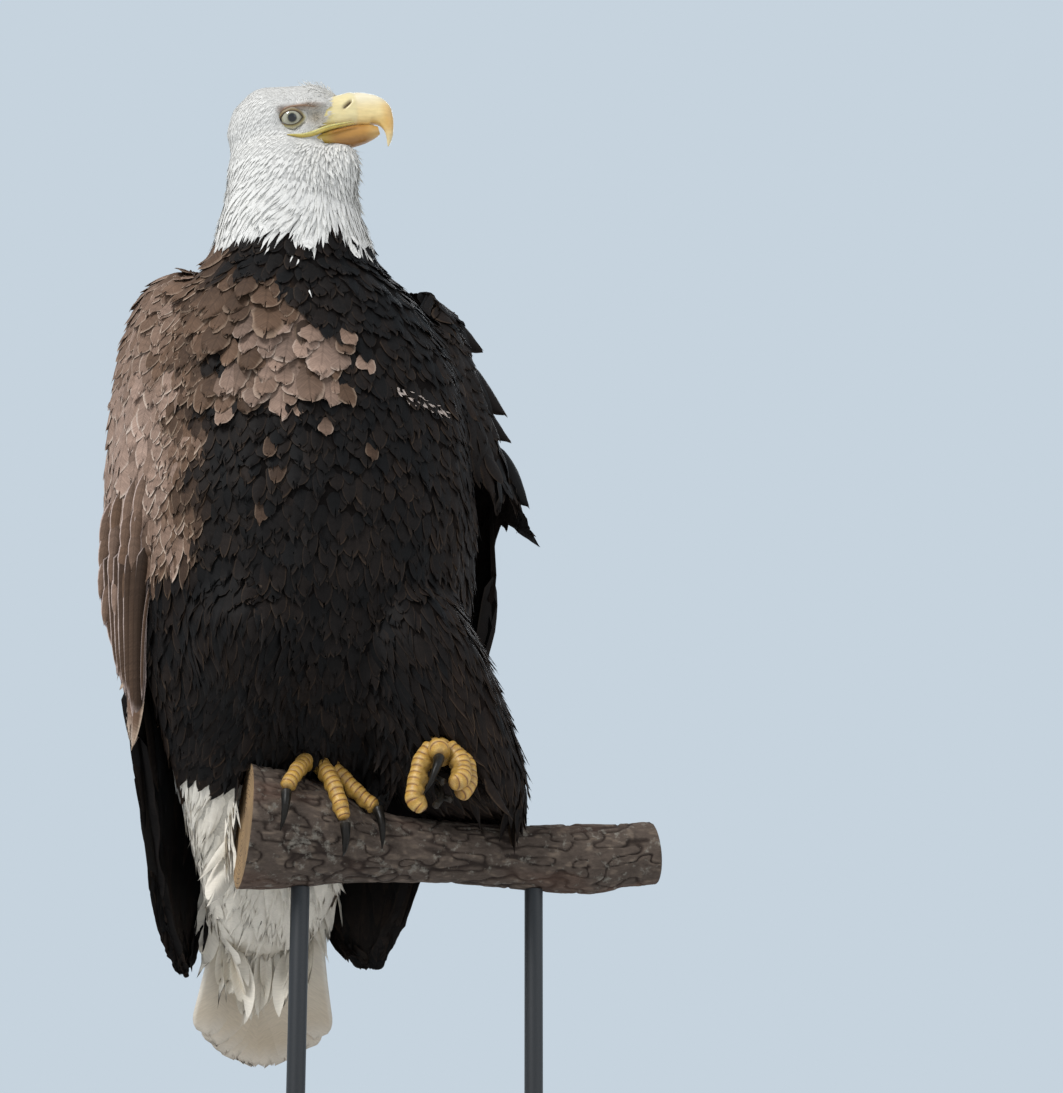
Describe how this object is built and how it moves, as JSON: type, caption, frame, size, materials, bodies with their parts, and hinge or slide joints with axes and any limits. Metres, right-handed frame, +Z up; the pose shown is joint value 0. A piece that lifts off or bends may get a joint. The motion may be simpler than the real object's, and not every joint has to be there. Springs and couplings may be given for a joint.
{
  "type": "bald eagle",
  "caption": "Life-size bald eagle standing upright on one foot on a cut branch, head turned and the other foot drawn up, on a plain board stand with rods.",
  "frame": {"origin": "middle of the stand's underside, on the floor", "axes": "+Z up; the bird faces -Y and its left side is +X, along the branch"},
  "size_m": [0.4992, 0.3352, 1.1446],
  "materials": {
    "white_plumage": "soft matt feather, white",
    "brown_plumage": "soft matt feather, dark brown with paler edges",
    "bill_horn": "smooth yellow horn, satin to glossy",
    "foot_skin": "yellow scaly skin in cross bands",
    "claw_horn": "polished black horn",
    "eye": "pale cream iris and black pupil under a clear cornea",
    "bark": "rough grey-brown bark with cut ends",
    "stand_metal": "satin black paint on steel",
    "stand_wood": "dark stained and waxed board"
  },
  "bodies": {
    "root": {"bill_lower": "bill_horn", "bill_upper": "bill_horn", "claw_left_hind": "claw_horn", "claw_left_inner": "claw_horn", "claw_left_middle": "claw_horn", "claw_left_outer": "claw_horn", "claw_right_hind": "claw_horn", "claw_right_inner": "claw_horn", "claw_right_middle": "claw_horn", "claw_right_outer": "claw_horn", "eye_left": "eye", "eye_right": "eye", "head": "white_plumage", "neck": "white_plumage", "perch_branch": "bark", "shank_left": "foot_skin", "shank_right": "foot_skin", "stand_base": "stand_wood", "stand_collar_1": "stand_metal", "stand_collar_2": "stand_metal", "stand_rod_1": "stand_metal", "stand_rod_2": "stand_metal", "tail": "white_plumage", "thigh_left": "brown_plumage", "thigh_right": "brown_plumage", "toe_left_hind": "foot_skin", "toe_left_inner": "foot_skin", "toe_left_middle": "foot_skin", "toe_left_outer": "foot_skin", "toe_right_hind": "foot_skin", "toe_right_inner": "foot_skin", "toe_right_middle": "foot_skin", "toe_right_outer": "foot_skin", "trunk": "brown_plumage", "wing_left_coverts": "brown_plumage", "wing_left_flight": "brown_plumage", "wing_right_coverts": "brown_plumage", "wing_right_flight": "brown_plumage"}
  },
  "joints": []
}
